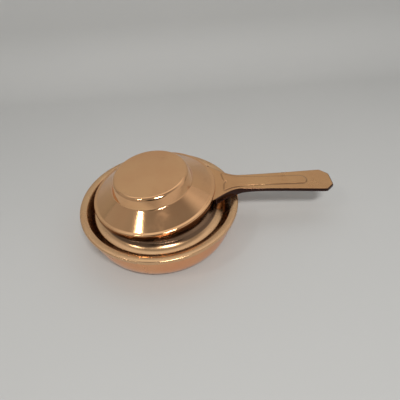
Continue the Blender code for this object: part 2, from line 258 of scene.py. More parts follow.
@dataclass(frozen=True)
class Copper:
    """Polished copper under a thin lacquer: cloudy colour, polishing marks, tarnish, soft waves, and a
    darkening read from a mesh attribute (painted shade in the pan's rings, under the cover's lip and along
    the handle's panel groove).
    """

    name: str
    colour: Colour
    cloud: Colour
    tarnish: Colour
    grain: Grain = Grain.ROUND
    roughness: float = 0.12
    roughness_spread: float = 0.16
    mark_height: float = 0.9e-6
    wave_height: float = 0.06 * MM
    tarnish_amount: float = 0.35
    coat: float = 0.2
    # painted shade: the mesh attribute named here mixes the dark colour below into the body
    dark_attribute: str = ""
    dark: Colour = (0.045, 0.018, 0.014)
    mark_scale: float = 2600.0
    scratch_scale: float = 700.0
    cloud_scale: float = 26.0
    smear_scale: float = 75.0
    speck_scale: float = 620.0
    wave_scale: float = 42.0
    round_stretch: float = 0.012
    long_stretch: float = 0.05

    def material(self, matrix: Optional[Matrix] = None) -> bpy.types.Material:
        """Build the material.

        Args:
            matrix: the frame of the piece, when it is turned or off centre.

        Returns:
            The material.
        """
        graph = Graph(self.name)
        place = graph.place(matrix)
        x, y, z = graph.split(place)
        if self.grain is Grain.ROUND:
            radius = (x * x + y * y) ** 0.5
            along = graph.node("ShaderNodeMath", {"operation": "ARCTAN2"}, {0: y, 1: x}) * self.round_stretch
            across = radius - z * 0.7
        else:
            along = x * self.long_stretch
            across = y
        lines = graph.noise(graph.join(across, along, z * 0.0), self.mark_scale, 2.0, 0.6)
        scratches = graph.noise(graph.join(across, along * 6.0, z), self.scratch_scale, 4.0, 0.75)
        clouds = graph.noise(place, self.cloud_scale, 4.0, 0.55)
        smears = graph.noise(place, self.smear_scale, 5.0, 0.62)
        specks = graph.noise(place, self.speck_scale, 3.0, 0.5)
        waves = graph.noise(place, self.wave_scale, 1.0, 0.4)

        fine = scratches.ramp(0.60, 0.74)
        spot = specks.ramp(0.66, 0.76) * clouds.ramp(0.42, 0.62)
        body = graph.mix(clouds.ramp(0.34, 0.70), self.colour, self.cloud)
        tarnish = (spot * 0.7 + smears.ramp(0.55, 0.80) * 0.5) * self.tarnish_amount
        body = graph.mix(tarnish.clamped(), body, self.tarnish)
        # painted shade: the shade attribute darkens the body towards the dark colour in the pan's sheltered
        # rings, under the cover's lip and along the handle's panel groove; it also darkens the handle's
        # turned-down edge
        if self.dark_attribute:
            inputs = {"attribute_name": self.dark_attribute}
            dark = graph.node("ShaderNodeAttribute", inputs, None, "Fac")
            body = graph.mix(dark, body, self.dark)
        rough = self.roughness + smears.ramp(0.45, 0.75) * self.roughness_spread
        rough = rough + fine * 0.05 + tarnish * 0.18
        relief = graph.bump(waves, self.wave_height)
        inputs = {
            "Height": lines * 0.6 + fine * 0.8,
            "Distance": self.mark_height,
            "Normal": relief,
        }
        normal = graph.node("ShaderNodeBump", None, inputs, "Normal")
        graph.set(Base_Color=body, Metallic=1.0, Roughness=rough.clamped(), Normal=normal)
        graph.set(Coat_Roughness=0.08, Coat_IOR=1.5, Coat_Weight=self.coat)
        return graph.material


@dataclass(frozen=True)
class DullMetal:
    """Tinned steel, wire or plain brass: grey or yellow metal with stains and fine scratches."""

    name: str
    colour: Colour
    stain: Colour
    roughness: float = 0.38
    stain_amount: float = 0.6
    pit_height: float = 0.02 * MM

    def material(self, matrix: Optional[Matrix] = None) -> bpy.types.Material:
        """Return the material, with its pattern in the frame that matrix gives."""
        graph = Graph(self.name)
        place = graph.place(matrix)
        clouds = graph.noise(place, 60.0, 5.0, 0.6)
        pits = graph.noise(place, 900.0, 3.0, 0.6)
        streaks = graph.noise(graph.join(*[part * factor for part, factor in zip(
            graph.split(place), (1.0, 1.0, 9.0))]), 240.0, 3.0, 0.6)
        mask = (clouds.ramp(0.45, 0.70) * self.stain_amount + pits.ramp(0.62, 0.75) * 0.3).clamped()
        rough = self.roughness + streaks.ramp(0.4, 0.7) * 0.14 + mask * 0.12
        graph.set(
            Base_Color=graph.mix(mask, self.colour, self.stain),
            Metallic=1.0,
            Roughness=rough.clamped(),
            Normal=graph.bump(pits * 0.5 + streaks * 0.5, self.pit_height),
        )
        return graph.material


@dataclass(frozen=True)
class Cotton:
    """White wadding with lumps, fibres and a few scorched patches."""

    name: str = "white_wadding"
    colour: Colour = (0.74, 0.71, 0.64)
    scorch: Colour = (0.30, 0.24, 0.17)

    def material(self, matrix: Optional[Matrix] = None) -> bpy.types.Material:
        """Return the material."""
        graph = Graph(self.name)
        place = graph.place(matrix)
        lumps = graph.noise(place, 260.0, 5.0, 0.65)
        fibres = graph.noise(place, 1900.0, 4.0, 0.7)
        burnt = graph.noise(place, 70.0, 3.0, 0.5).ramp(0.56, 0.74) * 0.55
        graph.set(
            Base_Color=graph.mix(burnt, self.colour, self.scorch),
            Roughness=(0.86 + fibres * 0.12).clamped(),
            Normal=graph.bump(lumps * 0.6 + fibres * 0.4, 0.5 * MM),
        )
        graph.set(Sheen_Weight=0.35, Sheen_Roughness=0.6)
        return graph.material


@dataclass(frozen=True)
class Paper:
    """Pale matt background paper with faint clouds and fine grain."""

    name: str = "pale_paper"
    colour: Colour = (0.545, 0.548, 0.540)
    cloud: Colour = (0.530, 0.534, 0.526)

    def material(self) -> bpy.types.Material:
        """Return the material."""
        graph = Graph(self.name)
        place = graph.place()
        clouds = graph.noise(place, 3.2, 3.0, 0.5)
        grain = graph.noise(place, 900.0, 2.0, 0.5)
        graph.set(
            Base_Color=graph.mix(clouds.ramp(0.35, 0.65), self.colour, self.cloud),
            Roughness=(0.62 + grain * 0.1).clamped(),
            Normal=graph.bump(grain, 0.03 * MM),
        )
        return graph.material


# ---------------------------------------------------------------- mesh helpers


def rounded(corners: Sequence[Corner], steps: int = CORNER_STEPS) -> list[Point]:
    """Round the corners of a path.

    Args:
        corners: radius, height and rounding of each corner; a rounding of 0 keeps it sharp.
        steps: straight pieces in a rounded corner.

    Returns:
        The points of the path.
    """
    points: list[Point] = []
    for index, (radius, height, rounding) in enumerate(corners):
        here = Vector((radius, height))
        if rounding == 0.0:
            points.append((radius, height))
            continue
        before = (Vector(corners[index - 1][:2]) - here).normalized()
        after = (Vector(corners[index + 1][:2]) - here).normalized()
        half = before.angle(after) / 2
        centre = here + (before + after).normalized() * rounding / math.sin(half)
        start = here + before * rounding / math.tan(half) - centre
        end = here + after * rounding / math.tan(half) - centre
        sweep = start.angle(end)
        for step in range(steps + 1):
            turn = step / steps
            arm = start * math.sin((1 - turn) * sweep) + end * math.sin(turn * sweep)
            points.append(tuple(centre + arm / math.sin(sweep)))
    return points


def offset(path: Sequence[Point], thickness: float) -> list[Point]:
    """Return a path moved to the right of its direction by thickness, mitred at its points."""
    points = np.array(path)
    steps = np.diff(points, axis=0)
    steps /= np.linalg.norm(steps, axis=1)[:, None]
    sides = np.stack([steps[:, 1], -steps[:, 0]], axis=1)
    before = np.vstack([sides[:1], sides])
    after = np.vstack([sides, sides[-1:]])
    middle = before + after
    middle /= (1.0 + (before * after).sum(axis=1))[:, None]
    return [tuple(point) for point in points + thickness * middle]


def sheet_section(path: Sequence[Point], thickness: float) -> list[Point]:
    """Return the closed section of a sheet whose outer face is path, with round free edges.

    Args:
        path: outer face from its inner or upper end to its outer or lower end.
        thickness: of the sheet, measured away from the outer face.

    Returns:
        The section's points; an end on the axis stays square.
    """
    inner = offset(path, thickness)
    section = list(path)
    for near, far, forward in ((path[-1], inner[-1], True), (inner[0], path[0], False)):
        if near[0] > ON_AXIS:
            section += half_round(near, far, path, forward)
        if forward:
            section += inner[::-1]
    return section


def half_round(near: Point, far: Point, path: Sequence[Point], forward: bool) -> list[Point]:
    """Return the points of a flattened round edge between the two faces of a sheet."""
    middle = (Vector(near) + Vector(far)) / 2
    arm = Vector(near) - middle
    ends = (path[-2], path[-1]) if forward else (path[1], path[0])
    out = (Vector(ends[1]) - Vector(ends[0])).normalized() * arm.length * EDGE_BULGE
    angles = [math.pi * step / EDGE_STEPS for step in range(1, EDGE_STEPS)]
    return [tuple(middle + arm * math.cos(a) + out * math.sin(a)) for a in angles]


def turned_mesh(name: str, section: Sequence[Point], segments: int = TURNED_SEGMENTS) -> bpy.types.Mesh:
    """Turn a closed section about the Z axis.

    Args:
        name: the mesh's name.
        section: points that run down the outer side and back up the inner side.
        segments: sides of the piece.

    Returns:
        The mesh, with its faces pointing outwards.
    """
    build = bmesh.new()
    rings = []
    for radius, height in section:
        if radius < ON_AXIS:
            rings.append([build.verts.new((0.0, 0.0, height))] * segments)
            continue
        angles = [math.tau * step / segments for step in range(segments)]
        rings.append([
            build.verts.new((radius * math.cos(a), radius * math.sin(a), height)) for a in angles
        ])
    for upper, lower in zip(rings, rings[1:] + rings[:1]):
        for step in range(segments):
            after = (step + 1) % segments
            corners = [upper[step], lower[step], lower[after], upper[after]]
            unique = list(dict.fromkeys(corners))
            if len(unique) > 2:
                build.faces.new(unique)
    bmesh.ops.recalc_face_normals(build, faces=build.faces)
    mesh = bpy.data.meshes.new(name)
    build.to_mesh(mesh)
    build.free()
    mesh.shade_smooth()
    return mesh


def shaded(mesh: bpy.types.Mesh, bands: Sequence[tuple[float, float, float, float]]) -> None:
    """Store how much painted shade darkens the sheltered rings of a turned mesh.

    Args:
        mesh: the mesh, turned about the Z axis.
        bands: inner radius, outer radius, greatest height and amount of each ring.
    """
    places = np.empty(len(mesh.vertices) * 3)
    mesh.vertices.foreach_get("co", places)
    places = places.reshape(-1, 3)
    radii = np.hypot(places[:, 0], places[:, 1])
    amounts = np.zeros(len(radii))
    for inner, outer, top, amount in bands:
        inside = (radii > inner) & (radii < outer) & (places[:, 2] < top)
        amounts[inside] = amount
    layer = mesh.attributes.new("shade", "FLOAT", "POINT")
    layer.data.foreach_set("value", amounts)


def make_piece(
    name: str, mesh: bpy.types.Mesh, material: bpy.types.Material, body: str, node: str
) -> bpy.types.Object:
    """Put a finished mesh in the scene and tie it to the frame.

    Args:
        name: the piece's name.
        mesh: its mesh, in place.
        material: its finish.
        body: the body that it rides on.
        node: the CAD node that it stands for.

    Returns:
        The piece.
    """
    piece = bpy.data.objects.new(name, mesh)
    bpy.context.scene.collection.objects.link(piece)
    mesh.materials.clear()
    mesh.materials.append(material)
    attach(piece, body)
    if node:
        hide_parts(node)
    LOG.info("%s: %d faces on %s", name, len(mesh.polygons), body)
    return piece


# ---------------------------------------------------------------- pieces


@dataclass
class Bowl:
    """The outer bowl: flat base, bulged side and the flange that the pan hangs on."""

    rim_radius: float
    rim_height: float
    sheet: float = 0.9 * MM
    base_radius: float = 44.0 * MM
    overhang: float = 4.5 * MM
    bulge_power: float = 2.9
    bulge_steps: int = 40
    corner: float = 1.2 * MM
    pan_sheet: float = 0.8 * MM
    band_fall: float = 0.4 * MM
    gap: float = 0.3 * MM
    finish: Copper = Copper(
        "bowl_copper", (0.90, 0.47, 0.235), (0.84, 0.40, 0.20), (0.30, 0.12, 0.06), roughness=0.17
    )

    def path(self) -> list[Point]:
        """Return the outside, from the flange down the side and over the base to its middle."""
        top = self.rim_height - self.band_fall - self.pan_sheet - self.gap
        underside = top - self.sheet
        wall = self.rim_radius - self.overhang
        edge = self.rim_radius - self.pan_sheet - self.gap
        side_top = underside - self.corner
        points = rounded([
            (edge, underside, 0.0),
            (wall, underside, self.corner),
            (wall, side_top - 0.5 * self.corner, 0.0),
        ])
        points.pop()
        for step in range(1, self.bulge_steps):
            angle = math.pi / 2 * (1 - step / self.bulge_steps)
            out = (wall - self.base_radius) * math.sin(angle) ** (2 / self.bulge_power)
            down = side_top * math.cos(angle) ** (2 / self.bulge_power)
            points.append((self.base_radius + out, side_top - down))
        return points + [(self.base_radius - self.sheet, 0.0), (0.0, 0.0)]

    def build(self) -> None:
        """Build the bowl."""
        mesh = turned_mesh("bowl_skin", sheet_section(self.path(), self.sheet))
        make_piece("bowl_skin", mesh, self.finish.material(), "bowl", "bowl")


@dataclass
class Burner:
    """The lift-out burner: pan, fuel cup, wadding, gauze and the ring that holds it."""

    rim_radius: float
    rim_height: float
    sheet: float = 0.8 * MM
    edge_drop: float = 2.6 * MM
    band_width: float = 5.5 * MM
    band_fall: float = 0.4 * MM
    band_crown: float = 0.22 * MM
    step_width: float = 0.9 * MM
    step_fall: float = 0.9 * MM
    gutter_depth: float = 5.6 * MM
    gutter_slope: float = math.radians(43.0)
    gutter_corner: float = 2.0 * MM
    drum_radius: float = 46.1 * MM
    drum_fall: float = 2.0 * MM
    drum_corner: float = 0.6 * MM
    flank_slope: float = math.radians(52.0)
    flank_corner: float = 8.6 * MM
    neck_radius: float = 24.5 * MM
    neck_foot: float = 4.5 * MM
    neck_height: float = 4.0 * MM
    cup_sheet: float = 0.6 * MM
    ring_width: float = 1.8 * MM
    wadding_taper: float = 4.0 * MM
    wadding_step: float = 1.1 * MM
    wadding_dent: float = 0.8 * MM
    wadding_seed: int = 5
    ring_edge: float = 0.4 * MM
    neck_corner: float = 1.2 * MM
    step_corner: float = 0.45 * MM
    band_corner: float = 0.35 * MM
    crown_corner: float = 8.0 * MM
    edge_corner: float = 0.9 * MM
    cup_corner: float = 3.0 * MM
    wire_pitch: float = 1.5 * MM
    wire_radius: float = 0.16 * MM
    # painted shade on the gutter's outer wall and on the drum's flank under the cover
    wall_painted_shade: float = 0.72
    flank_painted_shade: float = 0.80
    pan_finish: Copper = Copper(
        "pan_copper",
        (0.80, 0.50, 0.265),
        (0.75, 0.44, 0.225),
        (0.34, 0.18, 0.10),
        roughness=0.21,
        coat=0.3,
        dark_attribute="shade",
    )
    cup_finish: DullMetal = DullMetal("tinned_steel", (0.55, 0.54, 0.51), (0.33, 0.29, 0.23))
    wire_finish: DullMetal = DullMetal("gauze_wire", (0.42, 0.40, 0.37), (0.20, 0.15, 0.11))
    ring_finish: DullMetal = DullMetal("ring_brass", (0.72, 0.49, 0.19), (0.36, 0.21, 0.08), 0.28)
    cotton: Cotton = Cotton()

    def pan_path(self) -> list[Point]:
        """Return the upper face of the pan from the neck's top out to the rim's edge."""
        band = self.rim_radius - self.band_width
        mouth = band - self.step_width
        step = self.rim_height - self.band_fall - self.step_fall
        gutter = self.rim_height - self.gutter_depth
        outer = mouth - (step - gutter) / math.tan(self.gutter_slope)
        drum = self.rim_height - self.drum_fall
        inner = self.drum_radius + (drum - gutter) / math.tan(self.flank_slope)
        foot = self.rim_height + self.neck_foot
        return rounded([
            (self.neck_radius, foot + self.neck_height, 0.0),
            (self.neck_radius, foot, self.neck_corner),
            (self.drum_radius, drum, self.drum_corner),
            (inner, gutter, self.flank_corner),
            (outer, gutter, self.gutter_corner),
            (mouth, step, self.step_corner),
            (band, self.rim_height - self.band_fall, self.band_corner),
            (band + self.band_width / 2, self.rim_height + self.band_crown, self.crown_corner),
            (self.rim_radius, self.rim_height - self.band_crown / 2, self.edge_corner),
            (self.rim_radius, self.rim_height - self.edge_drop, 0.0),
        ])

    @property
    def sheltered(self) -> list[tuple[float, float, float, float]]:
        """Return the rings of the pan that get painted shade: the drum's flank under the cover and the
        gutter's outer wall.
        """
        mouth = self.rim_radius - self.band_width - self.step_width
        floor = self.rim_height - self.gutter_depth
        top = self.rim_height - self.band_fall - 0.3 * MM
        wall = mouth - (top - floor) / math.tan(self.gutter_slope)
        return [
            (wall + 0.6 * MM, mouth + self.step_width, top, self.wall_painted_shade),
            (self.drum_radius - 1.5 * MM, self.drum_radius + 2.2 * MM, top, self.flank_painted_shade),
        ]

    def build_shell(self, name: str, node: str, path: list[Point], sheet: float, finish: object) -> None:
        """Build one turned sheet piece of the burner.

        Args:
            name: the piece's name.
            node: the CAD node that it stands for.
            path: its outer face.
            sheet: its thickness.
            finish: its finish, whose name is the slot.
        """
        mesh = turned_mesh(name, sheet_section(path, sheet))
        # painted shade on the pan's sheltered rings
        if node == "burner_pan":
            shaded(mesh, self.sheltered)
        make_piece(name, mesh, finish.material(), "burner", node)

    def build(self) -> None:
        """Build every piece of the burner."""
        self.build_shell("burner_pan_skin", "burner_pan", self.pan_path(), self.sheet, self.pan_finish)
        low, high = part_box("fuel_cup")
        cup = rounded([
            (high[0], high[2], 0.0), (high[0], low[2], self.cup_corner), (0.0, low[2], 0.0)
        ])
        self.build_shell("fuel_cup_skin", "fuel_cup", cup, self.cup_sheet, self.cup_finish)
        self.build_ring()
        self.build_wadding()
        self.build_gauze()

    def build_ring(self) -> None:
        """Build the brass ring, with rounded edges."""
        low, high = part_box("gauze_ring")
        edge = self.ring_edge
        inner = high[0] - self.ring_width
        section = rounded([
            (inner, (low[2] + high[2]) / 2, 0.0),
            (inner, high[2], edge),
            (high[0], high[2], edge),
            (high[0], low[2], edge),
            (inner, low[2], edge),
            (inner, (low[2] + high[2]) / 2 - edge / 4, 0.0),
        ])
        mesh = turned_mesh("gauze_ring_skin", section)
        make_piece("gauze_ring_skin", mesh, self.ring_finish.material(), "burner", "gauze_ring")

    def build_wadding(self) -> None:
        """Build the lumpy wadding inside the space of its CAD solid."""
        low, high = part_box("wadding")
        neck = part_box("gauze")[1][0] - 0.6 * MM
        cup_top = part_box("fuel_cup")[1][2]
        section = rounded([
            (0.0, high[2], 0.0),
            (neck, high[2], 1.0 * MM),
            (neck, cup_top, 1.5 * MM),
            (high[0], cup_top - self.wadding_taper, 1.5 * MM),
            (high[0], low[2], self.cup_corner),
            (0.0, low[2], 0.0),
        ])
        mesh = turned_mesh("wadding_plug", resampled(section, self.wadding_step), WADDING_SEGMENTS)
        dented(mesh, self.wadding_dent, seed=self.wadding_seed)
        make_piece("wadding_plug", mesh, self.cotton.material(), "burner", "wadding")

    def build_gauze(self) -> None:
        """Build the woven gauze with Geometry Nodes, clipped to the bore of the neck."""
        low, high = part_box("gauze")
        weave = GauzeWeave(high[0], (low[2] + high[2]) / 2, self.wire_pitch, self.wire_radius)
        mesh = weave.mesh(self.wire_finish.material())
        make_piece("gauze_weave", mesh, self.wire_finish.material(), "burner", "gauze")


def resampled(path: Sequence[Point], step: float) -> list[Point]:
    """Return the same path with no straight piece longer than step."""
    points: list[Point] = [path[0]]
    for start, end in zip(path, path[1:]):
        count = max(1, math.ceil(math.dist(start, end) / step))
        for index in range(1, count + 1):
            share = index / count
            points.append(tuple(a + (b - a) * share for a, b in zip(start, end)))
    return points


def dented(mesh: bpy.types.Mesh, depth: float, seed: int) -> None:
    """Press soft dents of up to depth into a mesh, with a fixed seed."""
    rng = np.random.default_rng(seed)
    count = len(mesh.vertices)
    places = np.empty(count * 3)
    normals = np.empty(count * 3)
    mesh.vertices.foreach_get("co", places)
    mesh.vertex_normals.foreach_get("vector", normals)
    places, normals = places.reshape(-1, 3), normals.reshape(-1, 3)
    amount = np.zeros(count)
    for _ in range(DENTS):
        centre = places[rng.integers(count)]
        width = rng.uniform(*DENT_WIDTHS) * MM
        distance = np.linalg.norm(places - centre, axis=1)
        amount += rng.uniform(*DENT_AMOUNTS) * np.exp(-((distance / width) ** 2))
    amount = np.clip(amount / np.percentile(amount, DENT_FULL), 0.0, 1.0)
    places -= normals * (amount * depth)[:, None]
    mesh.vertices.foreach_set("co", places.ravel())
    mesh.update()


class GauzeWeave:
    """A disc of plain woven wire, made by one Geometry Nodes tree."""

    def __init__(self, radius: float, height: float, pitch: float, wire: float) -> None:
        """Hold the sizes of the weave.

        Args:
            radius: of the disc.
            height: of the middle of the weave.
            pitch: from wire to wire.
            wire: radius of the wire.
        """
        self.sizes = {"Radius": radius, "Height": height, "Pitch": pitch, "Wire": wire}

    def mesh(self, material: bpy.types.Material) -> bpy.types.Mesh:
        """Run the tree and return its result as a plain mesh."""
        tree = self.tree(material)
        holder_mesh = bpy.data.meshes.new("gauze_seed")
        holder = bpy.data.objects.new("gauze_seed", holder_mesh)
        bpy.context.scene.collection.objects.link(holder)
        modifier = holder.modifiers.new("weave", "NODES")
        modifier.node_group = tree
        for item in tree.interface.items_tree:
            if item.item_type == "SOCKET" and item.name in self.sizes:
                modifier[item.identifier] = self.sizes[item.name]
        holder.update_tag()
        graph = bpy.context.evaluated_depsgraph_get()
        result = bpy.data.meshes.new_from_object(holder.evaluated_get(graph))
        holder.modifiers.remove(modifier)
        bpy.data.objects.remove(holder, do_unlink=True)
        result.shade_smooth()
        return result

    def tree(self, material: bpy.types.Material) -> bpy.types.NodeTree:
        """Build the tree: two sets of waved wires, crossed, clipped to a circle and made solid."""
        tree = bpy.data.node_groups.new("gauze_weave", "GeometryNodeTree")
        for name in self.sizes:
            tree.interface.new_socket(name, in_out="INPUT", socket_type="NodeSocketFloat")
        tree.interface.new_socket("Geometry", in_out="OUTPUT", socket_type="NodeSocketGeometry")
        sizes = tree.nodes.new("NodeGroupInput").outputs

        def node(kind: str, settings: dict, inputs: dict) -> bpy.types.Node:
            """Return a new node with its settings, then its links and values."""
            new = tree.nodes.new(kind)
            for key, value in settings.items():
                setattr(new, key, value)
            for key, value in inputs.items():
                if isinstance(value, bpy.types.NodeSocket):
                    tree.links.new(value, new.inputs[key])
                else:
                    new.inputs[key].default_value = value
            return new

        def maths(operation: str, first: object, second: object = 0.0) -> bpy.types.NodeSocket:
            """Return the result of one Math node."""
            return node("ShaderNodeMath", {"operation": operation}, {0: first, 1: second}).outputs[0]

        count = maths("ADD", maths("MULTIPLY", maths("FLOOR", maths("DIVIDE", sizes["Radius"],
                                                                  sizes["Pitch"])), 2.0), 1.0)
        reach = maths("MULTIPLY", maths("SUBTRACT", count, 1.0), sizes["Pitch"])
        half = maths("MULTIPLY", reach, -0.5)
        start = node("ShaderNodeCombineXYZ", {}, {"X": half, "Z": sizes["Height"]}).outputs[0]
        end = node(
            "ShaderNodeCombineXYZ", {}, {"X": maths("MULTIPLY", half, -1.0), "Z": sizes["Height"]}
        ).outputs[0]
        line = node("GeometryNodeCurvePrimitiveLine", {}, {"Start": start, "End": end})
        fine = maths("ADD", maths("MULTIPLY", maths("SUBTRACT", count, 1.0), WIRE_POINTS), 1.0)
        wire = node("GeometryNodeResampleCurve", {}, {"Curve": line.outputs[0], "Count": fine})
        step = node("ShaderNodeCombineXYZ", {}, {"Y": sizes["Pitch"]}).outputs[0]
        first = node("ShaderNodeCombineXYZ", {}, {"Y": half}).outputs[0]
        posts = node(
            "GeometryNodeMeshLine", {"mode": "OFFSET"},
            {"Count": count, "Start Location": first, "Offset": step},
        )
        rows = node(
            "GeometryNodeInstanceOnPoints", {},
            {"Points": posts.outputs[0], "Instance": wire.outputs[0]},
        )
        flat = node("GeometryNodeRealizeInstances", {}, {"Geometry": rows.outputs[0]})
        place = node("GeometryNodeInputPosition", {}, {}).outputs[0]
        parts = node("ShaderNodeSeparateXYZ", {}, {0: place}).outputs
        column = maths("DIVIDE", parts["X"], sizes["Pitch"])
        row = maths("DIVIDE", parts["Y"], sizes["Pitch"])
        wave = maths("COSINE", maths("MULTIPLY", maths("ADD", column, row), math.pi))
        lift = maths("MULTIPLY", wave, maths("MULTIPLY", sizes["Wire"], WIRE_LIFT))
        rise = node("ShaderNodeCombineXYZ", {}, {"Z": lift}).outputs[0]
        waved = node("GeometryNodeSetPosition", {}, {"Geometry": flat.outputs[0], "Offset": rise})
        turned = node(
            "GeometryNodeTransform", {},
            {"Geometry": waved.outputs[0], "Rotation": (0.0, 0.0, math.pi / 2)},
        )
        opposite = node("GeometryNodeSetPosition", {}, {
            "Geometry": turned.outputs[0],
            "Offset": node("ShaderNodeCombineXYZ", {}, {"Z": maths("MULTIPLY", maths(
                "MULTIPLY", maths("COSINE", maths("MULTIPLY", maths("ADD", column, row), math.pi)),
                maths("MULTIPLY", sizes["Wire"], WIRE_LIFT)), -2.0)}).outputs[0],
        })
        both = node("GeometryNodeJoinGeometry", {}, {})
        tree.links.new(waved.outputs[0], both.inputs[0])
        tree.links.new(opposite.outputs[0], both.inputs[0])
        away = maths("SQRT", maths("ADD", maths("MULTIPLY", parts["X"], parts["X"]),
                                   maths("MULTIPLY", parts["Y"], parts["Y"])))
        outside = node(
            "FunctionNodeCompare", {"operation": "GREATER_THAN", "data_type": "FLOAT"},
            {0: away, 1: maths("SUBTRACT", sizes["Radius"], sizes["Wire"])},
        ).outputs[0]
        round_cut = node(
            "GeometryNodeDeleteGeometry", {"domain": "POINT"},
            {"Geometry": both.outputs[0], "Selection": outside},
        )
        ring = node("GeometryNodeCurvePrimitiveCircle", {"mode": "RADIUS"},
                    {"Resolution": WIRE_SIDES, "Radius": sizes["Wire"]})
        solid = node(
            "GeometryNodeCurveToMesh", {},
            {"Curve": round_cut.outputs[0], "Profile Curve": ring.outputs[0], "Fill Caps": True},
        )
        real = node("GeometryNodeRealizeInstances", {}, {"Geometry": solid.outputs[0]})
        dressed = node(
            "GeometryNodeSetMaterial", {}, {"Geometry": real.outputs[0], "Material": material}
        )
        output = tree.nodes.new("NodeGroupOutput")
        tree.links.new(dressed.outputs[0], output.inputs[0])
        return tree


@dataclass
class Snuffer:
    """The loose cover and its pressed handle, in the frame in which they lie on the pan."""

    mouth_radius: float
    rim_height: float
    sheet: float = 0.8 * MM
    lip_margin: float = 7.7 * MM
    lip_height: float = 4.4 * MM
    lip_corner: float = 1.2 * MM
    ledge_width: float = 2.7 * MM
    ledge_rise: float = 0.2 * MM
    cone_width: float = 14.7 * MM
    cone_height: float = 8.9 * MM
    crown_height: float = 9.0 * MM
    crown_taper: float = 3.2 * MM
    crown_corner: float = 3.2 * MM
    shift: tuple[float, float] = (-3.2 * MM, 7.1 * MM)
    handle_side_up: float = math.radians(4.8)
    back_up: float = math.radians(0.7)
    # amount of painted shade on the lower outer wall of the lip
    lip_painted_shade: float = 0.7
    cover_finish: Copper = Copper(
        "cover_copper",
        (0.90, 0.52, 0.26),
        (0.85, 0.46, 0.225),
        (0.34, 0.16, 0.09),
        roughness=0.10,
        roughness_spread=0.05,
        wave_height=0.02 * MM,
        dark_attribute="shade",
    )
    lip_radius: float = field(init=False)
    matrix: Matrix = field(init=False)

    def __post_init__(self) -> None:
        """Work out the lip's radius and where the snuffer lies, from the cover's lowest point."""
        self.lip_radius = self.mouth_radius - self.lip_margin
        lean = Euler((self.back_up, -self.handle_side_up, 0.0)).to_matrix()
        dip = self.lip_radius * math.hypot(lean[2][0], lean[2][1])
        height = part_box("snuffer_cover")[0][2] + dip
        self.matrix = Matrix.Translation((*self.shift, height)) @ lean.to_4x4()

    def cover_path(self) -> list[Point]:
        """Return the outside of the cover from the middle of its crown to the lip's edge."""
        ledge = self.lip_radius - self.ledge_width
        ledge_height = self.lip_height + self.ledge_rise
        foot = ledge - self.cone_width
        foot_height = ledge_height + self.cone_height
        top = foot_height + self.crown_height
        return rounded([
            (0.0, top, 0.0),
            (foot - self.crown_taper, top, self.crown_corner),
            (foot, foot_height, 1.5 * MM),
            (ledge, ledge_height, 0.9 * MM),
            (self.lip_radius, self.lip_height, self.lip_corner),
            (self.lip_radius, 0.0, 0.0),
        ])

    def build(self) -> None:
        """Build the cover, open its lip for the handle's tongue, and build the handle."""
        handle = Handle(self)
        mesh = turned_mesh("snuffer_cover_skin", sheet_section(self.cover_path(), self.sheet))
        wall = self.lip_radius - self.sheet / 2
        # painted shade on the lower outer wall of the lip
        shaded(mesh, [(wall, math.inf, self.lip_height - 0.8 * self.lip_corner, self.lip_painted_shade)])
        opened = cut_box(mesh, *handle.notch())
        opened.transform(self.matrix)
        finish = self.cover_finish.material(self.matrix)
        make_piece("snuffer_cover_skin", opened, finish, "snuffer", "snuffer_cover")
        handle.build()


def cut_box(mesh: bpy.types.Mesh, low: Vector, high: Vector) -> bpy.types.Mesh:
    """Cut a box out of a mesh.

    Args:
        mesh: the closed mesh that is cut.
        low: the box's lowest corner.
        high: its highest corner.

    Returns:
        The cut mesh.
    """
    body = bpy.data.objects.new("cut_body", mesh)
    build = bmesh.new()
    bmesh.ops.create_cube(build, size=1.0)
    for vert in build.verts:
        vert.co = Vector(a * b for a, b in zip(vert.co, high - low)) + (low + high) / 2
    box_mesh = bpy.data.meshes.new("cut_box")
    build.to_mesh(box_mesh)
    build.free()
    box = bpy.data.objects.new("cut_box", box_mesh)
    for item in (body, box):
        bpy.context.scene.collection.objects.link(item)
    cut = body.modifiers.new("cut", "BOOLEAN")
    cut.object = box
    cut.operation = "DIFFERENCE"
    cut.solver = "EXACT"
    graph = bpy.context.evaluated_depsgraph_get()
    result = bpy.data.meshes.new_from_object(body.evaluated_get(graph))
    for item in (body, box):
        bpy.data.objects.remove(item, do_unlink=True)
    result.shade_smooth()
    result.set_sharp_from_angle(angle=SHARP_ANGLE)
    return result


